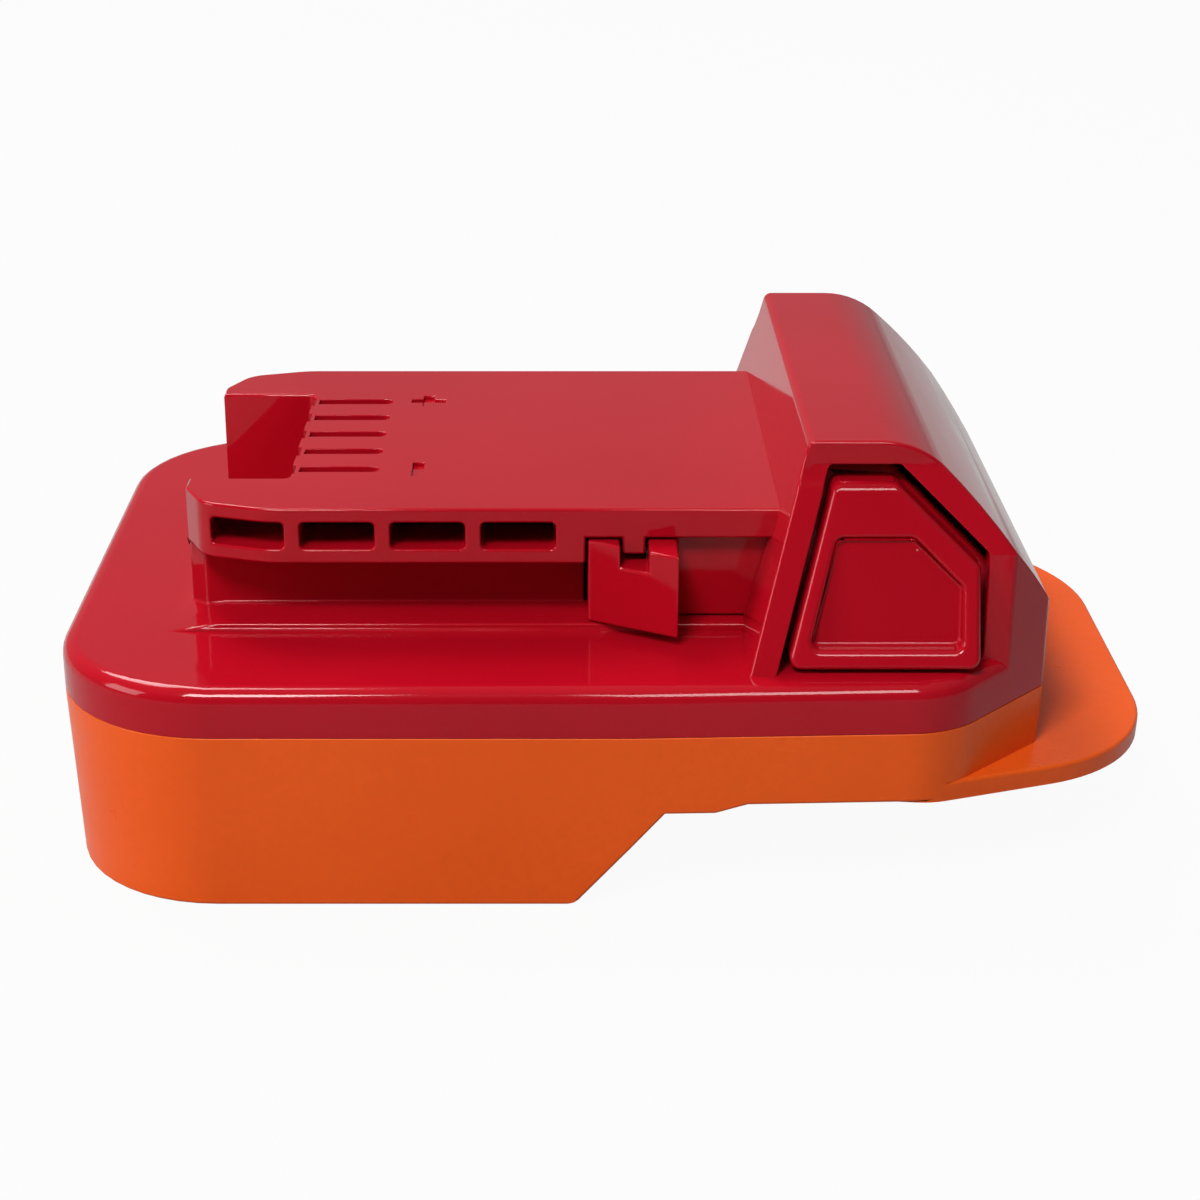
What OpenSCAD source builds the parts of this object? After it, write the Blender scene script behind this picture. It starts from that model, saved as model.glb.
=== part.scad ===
// Tool battery adapter: a slide rail with two side latches on top, a battery receiver below.
// Millimetres. X runs from the rail's nose to the tongue, Y goes across and Z up from the base.

/* [Body] */
// Length from the front wall to the tip of the tongue
overall_l = 123; // [118:1:132]
// Width over the side walls
body_w = 85.4; // [83:0.2:92]
// Height of the deck above the base
deck_h = 26; // [25:0.5:29]
// Height of the upper housing's band, from the parting line to the deck
band_h = 5.5; // [5:0.1:6]
// Wall thickness of both housings
wall = 2.4; // [2:0.1:2.6]
// Plan radius of the two front corners
front_r = 18; // [14:0.5:20]
// Length over which the sides taper before the tail
taper_l = 34; // [30:1:40]
// Width over the sides where they turn in to the tail
tail_w = 82.8; // [82:0.2:83]
// Length of the tail, over which the sides turn in
tail_l = 12.1; // [11:0.1:13]
// Plan radius where each side turns in to the tail
tail_r = 10; // [8:0.5:12]
// Width of the flat rear wall
rear_w = 57.2; // [55:0.2:59]
// Plan radius of the two rear corners
rear_r = 2; // [2:0.1:3]
// Fillet round the deck
deck_fillet = 1.8; // [1:0.1:1.8]
// How far the lower walls lean in at the base
draft = 0.9; // [0.3:0.1:1.4]
// Height of the lip that keys the two housings together
lip_h = 1.6; // [1:0.1:2]

/* [Tongue] */
// Reach of the tongue past the rear wall
tongue_reach = 13.8; // [11:0.2:16]
// Thickness of the tongue
tongue_t = 2.2; // [1.6:0.1:2.6]
// Width of the tongue's tip, before its corners are rounded
tongue_tip_w = 57.8; // [52:0.2:62]
// Plan radius of the tongue's tip corners
tongue_tip_r = 22.5; // [15:0.5:25]
// Droop of the tongue towards its tip, in degrees
tongue_droop = 3; // [0:0.5:4]

/* [Rail] */
// Width of the rail over its flanges
rail_w = 52; // [50:0.5:54]
// Width of the stem that carries the flanges
stem_w = 39.8; // [38.6:0.2:41]
// Height of the rail above the deck
rail_h = 14.3; // [13.5:0.1:15.5]
// Thickness of the rail's flanges
flange_t = 6.4; // [5.8:0.1:7]
// Wall thickness of the hollow rail
rail_wall = 2; // [1.6:0.1:2.2]
// Distance from the front wall to the rail's nose
nose_gap = 13.5; // [11:0.5:15]
// Width across the rail's nose
nose_w = 37.2; // [35:0.2:38.4]
// Length over which the flanges' front corners turn in
nose_turn = 9.6; // [8:0.2:11]
// Width of the terminal notch
notch_w = 31.4; // [30:0.2:32]
// Length of the terminal notch
notch_l = 11.3; // [10:0.1:12]
// Number of contact slots
slot_count = 5; // [3:2:5]
// Spacing of the contact slots
slot_pitch = 6.35; // [6:0.05:6.5]
// Width of a contact slot
slot_w = 1.8; // [1.4:0.1:2.2]
// Length of a contact slot
slot_l = 10; // [8:0.5:11]
// Thickness of the bridge over a slot's mouth
bridge_t = 0.5; // [0.4:0.1:0.8]
// Number of vents in each flange
vent_count = 4; // [3:1:4]
// Width of the rib between two vents
vent_rib = 1.75; // [1.4:0.05:2.4]
// Height of a vent
vent_h = 3.1; // [2:0.1:3.4]
// Distance from the hump's foot to the end of the full flanges
latch_bay = 17.4; // [16.4:0.1:18.4]
// Thickness of the flanges above the latches
thin_t = 3.4; // [3:0.1:4]
// Height of the low plateau that the rail stands on
plateau_h = 0.9; // [0.5:0.1:1.2]

/* [Hump] */
// Height of the hump above the deck
hump_h = 23.5; // [22.5:0.5:25]
// Length of the hump along the deck
hump_l = 33.6; // [32.5:0.1:35]
// Length of the hump's flat top
hump_top_l = 7.6; // [7.2:0.1:8]
// Radius from the hump's top to its rear
brow_r = 10; // [9:0.5:12]
// Turn of that radius, in degrees
brow_turn = 43; // [42:0.5:44]
// Radius of the hump's long curved rear
slope_r = 69; // [66:1:74]
// Width of the hump's top
hump_top_w = 60.6; // [58:0.2:62]
// Width of the hump over its upright sides
hump_w = 68; // [66.5:0.5:69]
// Lean of the hump's front, in degrees
front_lean = 15; // [12:0.5:17]
// Height of the brow above the button windows
brow_h = 2.6; // [2.4:0.1:3]
// Width of the leaning post in front of each window
post_w = 2.9; // [2.8:0.1:3.4]
// Strip of deck left beside each post's foot
deck_strip = 3.9; // [3:0.1:5]
// Length of a window's top edge
window_top_l = 7.7; // [7:0.1:8.2]
// Slope of a window's rear edge, in degrees
window_slope = 43; // [42:0.5:45]
// Distance from a window to the rear wall
window_gap = 8; // [7.6:0.1:9]

/* [Latch] */
// Travel of a latch button
latch_travel = 4.5; // [3.5:0.1:4.8]
// How far a latch hook stands out past the rail
hook_out = 5.2; // [4:0.1:5.6]
// Length of a latch hook
hook_l = 9.8; // [8:0.1:10.5]
// Thickness of the latch arm
arm_t = 3; // [2.4:0.1:3.4]
// Thickness of the plate behind the button's pad
plate_t = 2; // [1.6:0.1:2.4]
// Depth of the dish in the button's pad, at its foot
dish_depth = 1.9; // [1:0.1:2.2]
// Outer diameter of a latch spring
spring_d = 7.2; // [6:0.1:7.6]
// Diameter of the spring wire
spring_wire = 0.9; // [0.7:0.05:1]
// Number of spring turns
spring_turns = 6; // [5:1:7]

/* [Receiver] */
// Width of the receiver's channel
channel_w = 59; // [56:0.5:60]
// Width of the opening between the ledges
ledge_gap = 47; // [44:0.5:49]
// Thickness of the ledges that the battery slides on
ledge_t = 4.4; // [3.5:0.1:5]
// Height of the channel's roof above the base
roof_h = 11.2; // [10.5:0.1:12]
// Length of the deep box, from the front wall to the mouth
deep_l = 57; // [54:0.5:60]
// Slope of the mouth, in degrees
mouth_slope = 49; // [45:1:55]
// Distance from the front wall to the channel's end
channel_gap = 11.5; // [10:0.5:13]

/* [Terminals] */
// Thickness of the clip metal
clip_t = 0.5; // [0.4:0.05:0.6]
// Thickness of the battery blades
blade_t = 0.8; // [0.6:0.05:1]
// Distance between the two battery blades
blade_gap = 24; // [22:0.5:26]
// Free length of the battery blades
blade_l = 11; // [9:0.5:13]
// Diameter of a wire over its insulation
wire_d = 2.6; // [2.2:0.1:3]
// Wall of a shrink sleeve
sleeve_t = 0.4; // [0.3:0.05:0.5]

/* [Fasteners] */
// Shank diameter of the housing screws
screw_d = 2.6; // [2.2:0.1:3]
// Head diameter of the housing screws
screw_head_d = 5.2; // [4.6:0.1:5.6]
// Shank diameter of the small inner screws
small_d = 2; // [1.8:0.1:2.2]
// Head diameter of the small inner screws
small_head_d = 3.8; // [3.4:0.1:4]

/* [Fits] */
// Clearance of pieces that are fastened together
fit = 0.15; // [0.1:0.01:0.2]
// Clearance of pieces that move
run = 0.3; // [0.25:0.01:0.35]

/* [Hidden] */
$fn = 48;

// Colours
red = [0.72, 0.03, 0.10];
orange = [0.87, 0.36, 0.12];
black = [0.10, 0.10, 0.11];
brass = [0.80, 0.62, 0.30];
steel = [0.62, 0.63, 0.65];
copper_red = [0.75, 0.10, 0.08];

// Overshoot of a cut past the face that it opens
over = 1;

// Body
front_x = -overall_l / 2;
tip_x = overall_l / 2;
rear_x = tip_x - tongue_reach;
half_w = body_w / 2;
rear_hw = rear_w / 2;
turn_hw = tail_w / 2;
turn_x = rear_x - tail_l;
taper_x = turn_x - taper_l;
tail_k = (turn_hw - rear_hw) / tail_l;
part_z = deck_h - band_h;
body_outline = [
    [front_x, -half_w, front_r], [taper_x, -half_w, 0], [turn_x, -turn_hw, tail_r],
    [rear_x, -rear_hw, rear_r], [rear_x, rear_hw, rear_r], [turn_x, turn_hw, tail_r],
    [taper_x, half_w, 0], [front_x, half_w, front_r]
];
// The same corners for the hulls, each one round enough for the deck's fillet and the draft
block_outline = [for (p = body_outline) [p[0], p[1], max(p[2], deck_fillet + 0.1, draft + 0.1)]];

// Rail
rail_hw = rail_w / 2;
stem_hw = stem_w / 2;
hump_x = rear_x - hump_l;
flange_end_x = hump_x - latch_bay;
rail_z = deck_h + rail_h;
flange_z = rail_z - flange_t;
thin_z = rail_z - thin_t;
plateau_z = deck_h + plateau_h;
nose_x = front_x + nose_gap;
notch_x = nose_x + notch_l;
rail_in_hw = stem_hw - rail_wall;
rail_roof = rail_wall + 0.2;
rail_in_z = rail_z - rail_roof;
rail_in_x = notch_x + rail_wall;
plateau_rim = 0.4;
plateau_hw = rail_hw + plateau_rim;
ramp_reach = 2.3;
ramp_x = nose_x - ramp_reach;
ramp_l = 6.3;
notch_r = 0.8;
bay_w = 3;
bay_depth = 0.4;
bridge_h = 1.4;
slot_ys = [for (i = [0 : slot_count - 1]) (i - (slot_count - 1) / 2) * slot_pitch];
vent_lead = 7.9;
vent_end = 3.25;
vent_x = notch_x - vent_lead;
vent_pitch = (flange_end_x - vent_end - vent_x + vent_rib) / vent_count;
vent_l = vent_pitch - vent_rib;
vent_z = rail_z - flange_t / 2 - vent_h / 2;
vent_r = 0.6;

// Hump
hump_z = deck_h + hump_h;
hump_hw = hump_w / 2;
top_hw = hump_top_w / 2;
foot_hw = half_w - deck_strip;
top_x0 = front_face(hump_z);
top_x1 = top_x0 + hump_top_l;
hump_tail_x = rear_x - 0.1;
hump_foot_z = deck_h - deck_fillet;
hump_set = 0.05;
brow_z = hump_z - brow_h;
brow_c = [top_x1, hump_z - brow_r];
slope_c = on_arc(brow_c, brow_r - slope_r, brow_turn);
knee_h = 12;
knee_z = deck_h + knee_h;
knee_k = (hump_hw - top_hw) / (brow_z - knee_z);
front_wall_x = wall / cos(front_lean);
window_x = rear_x - window_gap;
window_k = tan(window_slope);
window_top_x = front_face(brow_z) + post_w + window_top_l;
// The leaning plane of the posts and pads, from the foot to just under the brow
lean_top = [top_hw + 1.2, brow_z - 1.7];
lean_k = (foot_hw - lean_top[0]) / (lean_top[1] - deck_h);
shoulder_drop = 2.5;
shoulder_z = brow_z - shoulder_drop;
shoulder_h = 1.6;

// Latches
latch_z0 = plateau_z + 0.2;
latch_z1 = thin_z - run;
hook_x0 = flange_end_x + run;
hook_x1 = hook_x0 + hook_l;
arm_out = rail_hw - 1.8;
arm_in = arm_out - arm_t;
arm_reach = arm_in - latch_travel - run;
tab_x0 = hook_x0 + 3.8;
tab_l = 2.5;
tab_w = 2.5;
tab_drop = 1.9;
plate_out = hump_hw - wall - run;
plate_in = plate_out - plate_t;
plate_x = rear_x - (plate_out - rear_hw + wall * sqrt(1 + tail_k * tail_k)) / tail_k - run;
plate_gap = 0.7;
plate_top = brow_z - plate_gap;
plate_drop = 1.5;
web_x = front_face(latch_z1) + front_wall_x + run;
web_t = 2.4;
pad_gap = 0.9;
pad_z0 = deck_h + 0.5;
pad_z1 = brow_z - 1.7;
pad_drop = 2.2;
dish_rim = 2;
dish_top = 5.6;
dish_slope_rim = 3.9;
dish_drop = pad_drop + dish_slope_rim;
spring_back = 14.4;
spring_up = 8;
spring_x = hump_x + spring_back;
spring_z = deck_h + spring_up;
spring_r = (spring_d - spring_wire) / 2;
peg_r = spring_r - spring_wire / 2 - run;
peg_l = 4;

// Latch carrier
carrier_hw = 13;
carrier_cheek = 2;
carrier_w = 15;
carrier_up = 2;
carrier_z = deck_h + carrier_up;
carrier_t = 2.5;
carrier_boss_r = 2.8;
carrier_screw_gap = 9;
cheek_rim = 0.7;
carrier_screw_xs = [spring_x - carrier_screw_gap / 2, spring_x + carrier_screw_gap / 2];

// Receiver
channel_hw = channel_w / 2;
ledge_hw = ledge_gap / 2;
channel_x = front_x + channel_gap;
mouth_x = front_x + deep_l;
mouth_top_x = mouth_x + roof_h / tan(mouth_slope);
shallow_z = roof_h + 1;
step_x0 = mouth_top_x + 5.4;
step_x1 = step_x0 + 3.5;
mouth_shift = wall * tan(mouth_slope / 2);
roof_z = roof_h + wall;
catch_back = 12;
catch_l = 6;
catch_x = mouth_x - catch_back;

// Tongue
tongue_root = 5.6;
tongue_side = 4;
tongue_rim = 0.5;
tongue_x = turn_x - tongue_root;
tongue_z = shallow_z;
tongue_hw = turn_hw - tongue_rim;
tongue_end_x = tongue_x + (tip_x - tongue_x - tongue_t * sin(tongue_droop)) / cos(tongue_droop);
tongue_outline = [
    [tongue_x, -tongue_hw, 0], [tongue_x + tongue_side, -tongue_hw, 8],
    [tongue_end_x, -tongue_tip_w / 2, tongue_tip_r], [tongue_end_x, tongue_tip_w / 2, tongue_tip_r],
    [tongue_x + tongue_side, tongue_hw, 8], [tongue_x, tongue_hw, 0]
];

// Tool terminal block
tool_block_x = rail_in_x + fit;
tool_block_end = 2;
tool_block_up = 0.6;
tool_block_l = slot_l + tool_block_end;
tool_block_z = plateau_z + tool_block_up;
tool_floor = 2;
tool_foot_l = 6;
tool_foot_t = 2.5;
tool_block_hw = rail_in_hw - fit;
clip_y = slot_pitch * (slot_count - 1) / 2;
chamber_w = 4.6;
chamber_l = slot_l - 0.6;
clip_hw = chamber_w / 2 - fit - 0.1;
clip_x0 = tool_block_x + 0.8;
clip_x1 = tool_block_x + chamber_l - fit;
clip_h = 7;
clip_z = tool_block_z + tool_floor + fit;
clip_tail_w = 3;
clip_tail_z = deck_h - wall - 0.6;
tool_screw_x = tool_block_x + tool_block_l + tool_foot_l / 2;
tool_screw_ys = [-9, 9];
tool_boss_r = 2.8;

// Battery terminal block
battery_block_l = 8;
battery_block_hw = 20;
battery_block_z = 1.2;
battery_fit = fit / 3;
battery_screw_ys = [-5, 5];
battery_screw_x = channel_x + battery_block_l / 2;
blade_y = blade_gap / 2;
blade_x0 = channel_x + 2.5;
blade_x1 = channel_x + battery_block_l + blade_l;
blade_z = 3;
blade_h = 5.5;
blade_tail_w = 2.4;
lug_z = roof_z + 1.6;
lug_h = 3;
lug_l = 7.5;

// Wires: each one runs back from its lug, sways out to the clip's side and bends up to the clip's tail
wire_r = wire_d / 2;
wire_gap = 0.05;
lug_wire_y = blade_y - blade_t / 2 - wire_r - wire_gap;
lug_wire_z = lug_z + lug_h / 2;
tail_wire_x = clip_x1 - clip_t - wire_r - wire_gap;
tail_wire_top = tool_block_z - 0.4;
wire_start_x = blade_x0 + blade_tail_w + 0.6;
sleeve_l = 4.5;
sleeve_gap = 0.1;
sleeve_room = 0.3;
bend_r = 5;
bend_x = tail_wire_x - bend_r;
sway_x = wire_start_x + sleeve_l + 0.5;
sway_steps = 5;
bend_steps = 6;
wire_route = concat(
    [[wire_start_x, lug_wire_y, lug_wire_z]],
    [for (i = [0 : sway_steps]) [
        sway_x + (bend_x - sway_x) * i / sway_steps,
        lug_wire_y + (clip_y - lug_wire_y) * (1 - cos(180 * i / sway_steps)) / 2, lug_wire_z
    ]],
    [for (a = [90 / bend_steps : 90 / bend_steps : 90])
        [bend_x + bend_r * sin(a), clip_y, lug_wire_z + bend_r * (1 - cos(a))]],
    [[tail_wire_x, clip_y, tail_wire_top]]
);

// Screws
screw_r = screw_d / 2;
screw_head_r = screw_head_d / 2;
screw_head_h = 2;
screw_seat = 5.5;
screw_cover = 1.5;
screw_seat_z = part_z - screw_seat;
screw_top_z = deck_h - screw_cover;
screw_post_r = screw_head_r + fit + 1.3;
screw_boss_r = screw_r + 1.9;
screw_front_gap = 16;
screw_side_gap = 7;
screw_rear_gap = 7;
screw_corner_gap = 10.4;
screw_front_x = front_x + screw_front_gap;
screw_front_y = half_w - screw_side_gap;
screw_rear_x = rear_x - screw_rear_gap;
screw_rear_y = rear_hw - screw_corner_gap;
screw_spots = [
    [screw_front_x, -screw_front_y], [screw_front_x, screw_front_y],
    [screw_rear_x, -screw_rear_y], [screw_rear_x, screw_rear_y]
];
small_r = small_d / 2;
small_head_r = small_head_d / 2;
small_head_h = 1.4;
small_bite = 5;
pilot = 0.05;

// Outlines: each point is [x, y, radius], and a radius of 0 keeps a sharp corner
function flat(v) = [v[0], v[1]];
function unit(v) = v / norm(v);
function at(p, i) = p[(i + len(p)) % len(p)];
function to_last(p, i) = unit(flat(at(p, i - 1)) - flat(p[i]));
function to_next(p, i) = unit(flat(at(p, i + 1)) - flat(p[i]));
function half_angle(p, i) = acos(to_last(p, i) * to_next(p, i)) / 2;
function inward(p, i) = unit(to_last(p, i) + to_next(p, i)) / sin(half_angle(p, i));
function centre(p, i) = flat(p[i]) + inward(p, i) * p[i][2];
function tangent(p, i) = p[i][2] / tan(half_angle(p, i));
function arc_ends(p, i) = p[i][2] > 0
    ? [flat(p[i]) + to_last(p, i) * tangent(p, i), flat(p[i]) + to_next(p, i) * tangent(p, i)]
    : [flat(p[i])];
function inset(p, d) = [
    for (i = [0 : len(p) - 1])
        concat(flat(p[i]) + inward(p, i) * d, p[i][2] > 0 ? max(p[i][2] - d, 0.4) : 0)
];

// A filled outline with true round corners
module rounded(p) {
    polygon([for (i = [0 : len(p) - 1]) each arc_ends(p, i)]);
    for (i = [0 : len(p) - 1])
        if (p[i][2] > 0)
            translate(centre(p, i)) circle(p[i][2]);
}

// Extrudes an outline drawn in X and Z across Y, or one drawn in Y and Z along X
module along_y(y0, y1) translate([0, y1, 0]) rotate([90, 0, 0]) linear_extrude(y1 - y0) children();
module along_x(x0, x1) translate([x0, 0, 0]) rotate([90, 0, 90]) linear_extrude(x1 - x0) children();
module along_z(z0, z1) translate([0, 0, z0]) linear_extrude(z1 - z0) children();
module box(x, y, z) translate([x[0], y[0], z[0]]) cube([x[1] - x[0], y[1] - y[0], z[1] - z[0]]);
module both_sides() {
    children();
    mirror([0, 1, 0]) children();
}

// One corner of the deck: a short post whose top edge is rounded
module deck_corner(r, h, fillet) rotate_extrude() polygon(concat(
    [[0, 0], [r, 0]],
    [for (a = [0 : 22.5 : 90]) [r - fillet + fillet * cos(a), h - fillet + fillet * sin(a)]],
    [[0, h]]
));
module deck_block() hull() for (i = [0 : len(block_outline) - 1])
    translate(concat(centre(block_outline, i), part_z))
        deck_corner(block_outline[i][2], band_h, deck_fillet);
module drafted_block() hull() for (i = [0 : len(block_outline) - 1])
    translate(concat(centre(block_outline, i), 0))
        cylinder(r1 = block_outline[i][2] - draft, r2 = block_outline[i][2], h = part_z);

// X of the hump's leaning front, half width of the leaning post plane, height of the hump's curved rear
function front_face(z) = hump_x + (z - deck_h) * tan(front_lean);
function lean_y(z) = foot_hw - (z - deck_h) * lean_k;
function slope_z(x) = slope_c[1] + sqrt(pow(slope_r, 2) - pow(x - slope_c[0], 2));
function on_arc(c, r, turn) = c + r * [sin(turn), cos(turn)];

// Hump profile seen from the side, with true arcs
module hump_profile() {
    tail_z = slope_z(hump_tail_x);
    bend = on_arc(brow_c, brow_r, brow_turn);
    rounded([
        [front_face(hump_foot_z), hump_foot_z, 0], [hump_tail_x, hump_foot_z, 0], [hump_tail_x, tail_z, 0],
        concat(bend, 0), [top_x1, hump_z, 0], [top_x0, hump_z, 1]
    ]);
    intersection() {
        translate(brow_c) circle(brow_r);
        translate([top_x1, bend[1]]) square([bend[0] - top_x1, brow_r]);
    }
    intersection() {
        translate(slope_c) circle(slope_r, $fn = 144);
        translate([bend[0], tail_z]) square([hump_tail_x - bend[0], hump_z - tail_z]);
    }
}
// The same profile set in by d, with flats along the arcs
function inner_profile(d, z0) = let (
    lead = d / cos(front_lean), top = hump_z - d, last = asin((rear_x - slope_c[0]) / (slope_r - d))
) concat(
    [[front_face(z0) + lead, z0], [rear_x, z0]],
    [for (i = [0 : 4]) on_arc(slope_c, slope_r - d, last + (brow_turn - last) * i / 4)],
    [for (i = [1 : 3]) on_arc(brow_c, brow_r - d, brow_turn * (1 - i / 3))],
    [[front_face(top) + lead, top]]
);
// Hump section seen from the front, set in by d
function knee_inset(d) = d * (sqrt(1 + knee_k * knee_k) - 1) / knee_k;
function hump_section(d, z0) = let (hw = hump_hw - d, tw = top_hw - d * sqrt(1 + knee_k * knee_k)) [
    [-hw, z0], [hw, z0], [hw, knee_z - knee_inset(d)], [tw, brow_z], [tw, hump_z + over],
    [-tw, hump_z + over], [-tw, brow_z], [-hw, knee_z - knee_inset(d)]
];
module hump_form() intersection() {
    along_y(-half_w, half_w) hump_profile();
    along_x(hump_x - hump_h, tip_x) polygon(hump_section(0, hump_foot_z - over));
    along_z(hump_foot_z, hump_z) rounded(inset(body_outline, hump_set));
}
module hump_hollow(d) intersection() {
    along_y(-half_w, half_w) polygon(inner_profile(d, part_z - over));
    along_x(hump_x - hump_h, tip_x) polygon(hump_section(d, part_z - 2 * over));
    along_z(part_z - 2 * over, hump_z) rounded(inset(body_outline, d));
}

// A five-sided outline with a diagonal at the rear: windows, pads, dishes and plates share it
function diagonal_x(z, drop) = window_top_x + (brow_z - drop - z) / window_k;
function diagonal_z(x, drop) = brow_z - drop - (x - window_top_x) * window_k;
function five_sided(gap, z0, z1, drop, right, r) = [
    [front_face(z0) + gap, z0, r], [right, z0, r], [right, diagonal_z(right, drop), r],
    [diagonal_x(z1, drop), z1, r], [front_face(z1) + gap, z1, r]
];
module window_cut() along_y(-half_w, -top_hw + wall + run)
    rounded(five_sided(post_w, deck_h, brow_z, 0, window_x, 0.6));
module post() intersection() {
    along_y(-half_w, 0) polygon([
        [front_face(deck_h - 1), deck_h - 1], [front_face(deck_h - 1) + post_w, deck_h - 1],
        [front_face(brow_z) + post_w, brow_z], [front_face(brow_z), brow_z]
    ]);
    along_x(hump_x - over, rear_x) polygon([
        [-lean_y(deck_h - 1), deck_h - 1], [-hump_hw + wall, deck_h - 1],
        [-top_hw + wall, shoulder_z + shoulder_h], [-top_hw + 0.4, shoulder_z + shoulder_h],
        [-lean_y(shoulder_z), shoulder_z]
    ]);
}

// Rail: flange outline with round front corners, narrower stem with its own nose
flange_outline = [
    [nose_x, -nose_w / 2, 1], [nose_x + 2.4, -rail_hw + 2.2, 4], [nose_x + nose_turn, -rail_hw, 9],
    [top_x0, -rail_hw, 0], [top_x0, rail_hw, 0], [nose_x + nose_turn, rail_hw, 9],
    [nose_x + 2.4, rail_hw - 2.2, 4], [nose_x, nose_w / 2, 1]
];
stem_outline = [
    [nose_x, -stem_hw + 2, 1], [nose_x + 2, -stem_hw, 1], [top_x0, -stem_hw, 0],
    [top_x0, stem_hw, 0], [nose_x + 2, stem_hw, 1], [nose_x, stem_hw - 2, 1]
];
module rail_form() {
    difference() {
        union() {
            along_z(flange_z, rail_z) rounded(flange_outline);
            along_z(deck_h - 1, flange_z + 1) rounded(stem_outline);
        }
        both_sides()
            box([flange_end_x, top_x0 + over], [-half_w, -arm_reach], [plateau_z, thin_z]);
    }
    plateau_x1 = front_face(deck_h) + 2;
    along_y(-plateau_hw, plateau_hw) polygon([
        [ramp_x - ramp_l, deck_h - plateau_h], [plateau_x1, deck_h - plateau_h], [plateau_x1, plateau_z],
        [ramp_x + ramp_l, plateau_z]
    ]);
}
// The notch has a shallow bay in its rear wall at each slot
module notch_cut() {
    along_z(plateau_z, rail_z + over) rounded([
        [nose_x - 4, -notch_w / 2, 0], [notch_x, -notch_w / 2, notch_r], [notch_x, notch_w / 2, notch_r],
        [nose_x - 4, notch_w / 2, 0]
    ]);
    for (y = slot_ys) translate([notch_x, y, 0])
        box([-over, bay_depth], [-bay_w / 2, bay_w / 2], [plateau_z, rail_z + over]);
}
// A slot opens on the rail's top, and under a thin bridge into the notch
module slot_cuts() for (y = slot_ys) translate([0, y, 0]) {
    slot_x0 = notch_x + bay_depth + bridge_t;
    slot_x1 = notch_x + slot_l - slot_w / 2;
    box([notch_x - over, slot_x1], [-slot_w / 2, slot_w / 2], [clip_z, rail_z - bridge_h]);
    box([slot_x0, slot_x1], [-slot_w / 2, slot_w / 2], [rail_in_z - over, rail_z + over]);
    translate([slot_x1, 0, rail_in_z - over]) cylinder(r = slot_w / 2, h = rail_wall + 3 * over);
}
// The first vent lies in the round corner and is blind, the others open into the hollow rail
module vent_cuts() for (i = [0 : vent_count - 1]) {
    x0 = vent_x + i * vent_pitch;
    depth = i == 0 ? rail_hw - notch_w / 2 - rail_wall : rail_hw - rail_in_hw + over;
    along_y(-rail_hw - over, -rail_hw + depth) rounded([
        [x0, vent_z, vent_r], [x0 + vent_l, vent_z, vent_r], [x0 + vent_l, vent_z + vent_h, vent_r],
        [x0, vent_z + vent_h, vent_r]
    ]);
}
// Opening through the hump's front for a latch arm
module latch_cut()
    box([hump_x, web_x + over], [-arm_out - run, -arm_reach], [plateau_z, thin_z]);
module rail_tab()
    box([tab_x0, tab_x0 + tab_l], [-rail_hw, -rail_hw + tab_w], [thin_z - tab_drop, thin_z + 1]);

module upper_shell() difference() {
    union() {
        deck_block();
        rail_form();
        hump_form();
        both_sides() post();
    }
    along_z(part_z - over, deck_h - wall) rounded(inset(body_outline, wall));
    along_z(part_z - over, part_z + lip_h + fit) rounded(inset(body_outline, wall / 2 - fit));
    box([rail_in_x, web_x + web_t], [-rail_in_hw, rail_in_hw], [part_z - over, rail_in_z]);
    hump_hollow(wall);
    notch_cut();
    slot_cuts();
    both_sides() {
        vent_cuts();
        latch_cut();
        window_cut();
    }
}
// Bosses hang from the deck, the rail's top and the hump, with a pilot bore for each screw
module upper_bosses() {
    for (s = screw_spots) intersection() {
        translate(concat(s, part_z)) cylinder(r = screw_boss_r, h = hump_z - part_z);
        union() {
            along_z(part_z - over, deck_h - wall / 2) rounded(inset(body_outline, wall / 2));
            hump_hollow(wall / 2);
        }
    }
    for (x = carrier_screw_xs) intersection() {
        translate([x, 0, carrier_z + carrier_t]) cylinder(r = carrier_boss_r, h = hump_h);
        hump_hollow(wall / 2);
    }
    for (y = tool_screw_ys) translate([tool_screw_x, y, tool_block_z + tool_foot_t])
        cylinder(r = tool_boss_r, h = rail_in_z + rail_wall / 2 - tool_block_z - tool_foot_t);
}
module upper_housing() color(red) difference() {
    union() {
        upper_shell();
        upper_bosses();
        both_sides() rail_tab();
    }
    for (s = screw_spots) translate(concat(s, part_z - over))
        cylinder(r = screw_r + pilot, h = screw_top_z - part_z + over + fit);
    for (x = carrier_screw_xs) translate([x, 0, carrier_z])
        cylinder(r = small_r + pilot, h = carrier_t + small_bite + fit);
    for (y = tool_screw_ys) translate([tool_screw_x, y, tool_block_z])
        cylinder(r = small_r + pilot, h = tool_foot_t + small_bite + fit);
}

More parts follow.
